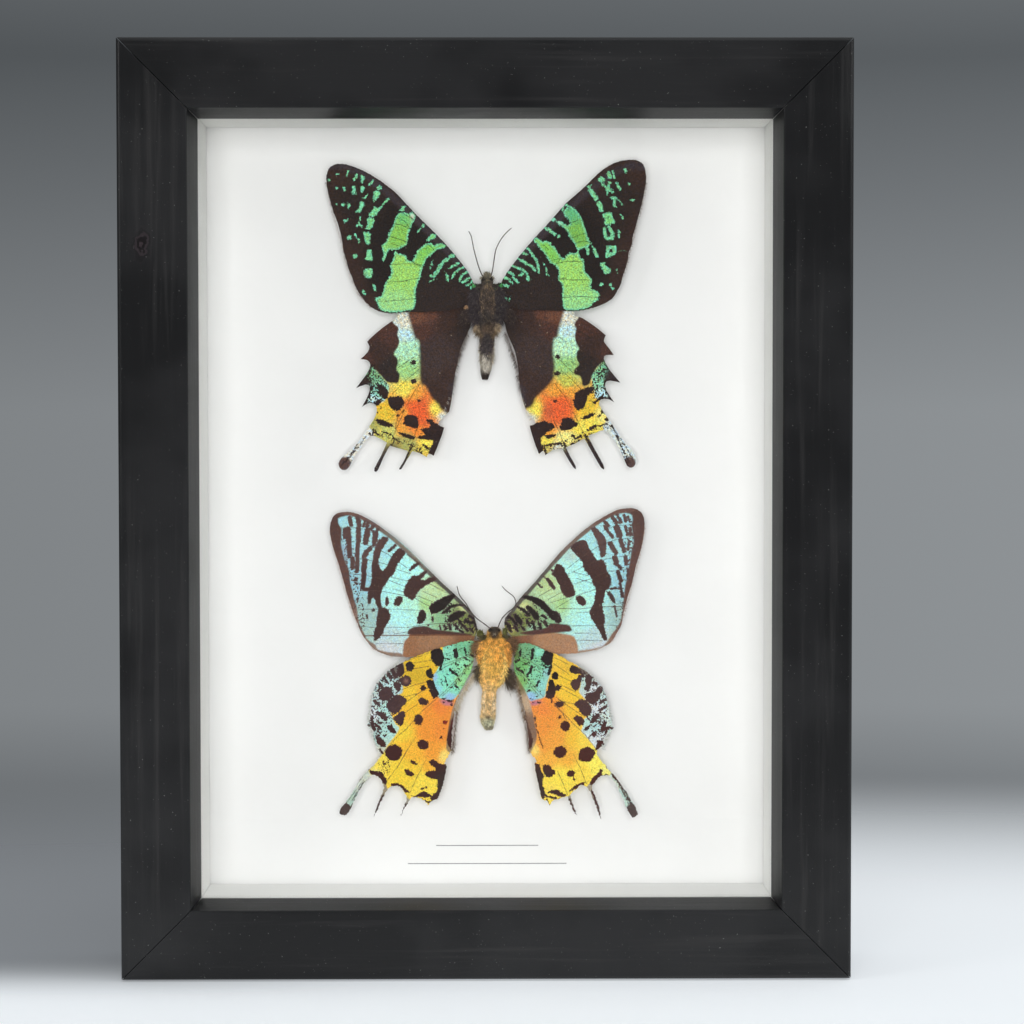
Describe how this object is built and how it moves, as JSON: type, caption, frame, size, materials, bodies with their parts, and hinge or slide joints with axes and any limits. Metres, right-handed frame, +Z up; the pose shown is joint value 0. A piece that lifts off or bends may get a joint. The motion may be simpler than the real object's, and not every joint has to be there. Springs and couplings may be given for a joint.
{
  "type": "framed sunset moth specimen",
  "caption": "Deep black box frame with a glass front, holding two spread sunset moths on white card, one from above and one from below.",
  "frame": {"origin": "middle of the frame's bottom face", "axes": "+Z up along the frame's long side, +X to the right as seen from the front, the glass front faces -Y"},
  "size_m": [0.181, 0.036, 0.2326],
  "materials": {
    "rail": "satin black paint over fine grain",
    "glass": "clear and polished",
    "spacer": "matt white",
    "card": "matt white",
    "back_board": "bare brown fibre board",
    "tab": "dull zinc",
    "hanger": "pressed brass",
    "dark_fur": "short black-brown fur with gold flecks",
    "upper_wing": "scaled wing, black with metallic green, turquoise and orange",
    "orange_fur": "short orange fur",
    "lower_wing": "scaled wing, pale blue and yellow with dark brown bands and spots"
  },
  "bodies": {
    "root": {"rail_top": "rail", "rail_bottom": "rail", "rail_left": "rail", "rail_right": "rail", "glass_pane": "glass", "spacer_left": "spacer", "spacer_right": "spacer", "spacer_top": "spacer", "spacer_bottom": "spacer", "backing_card": "card", "back_board": "back_board", "board_tab_top": "tab", "board_tab_bottom": "tab", "board_tab_left_upper": "tab", "board_tab_left_lower": "tab", "board_tab_right_upper": "tab", "board_tab_right_lower": "tab", "sawtooth_hanger": "hanger", "hanger_rivet_left": "hanger", "hanger_rivet_right": "hanger", "upper_moth_body": "dark_fur", "upper_forewing_left": "upper_wing", "upper_forewing_right": "upper_wing", "upper_hindwing_left": "upper_wing", "upper_hindwing_right": "upper_wing", "lower_moth_body": "orange_fur", "lower_forewing_left": "lower_wing", "lower_forewing_right": "lower_wing", "lower_hindwing_left": "lower_wing", "lower_hindwing_right": "lower_wing"}
  },
  "joints": []
}
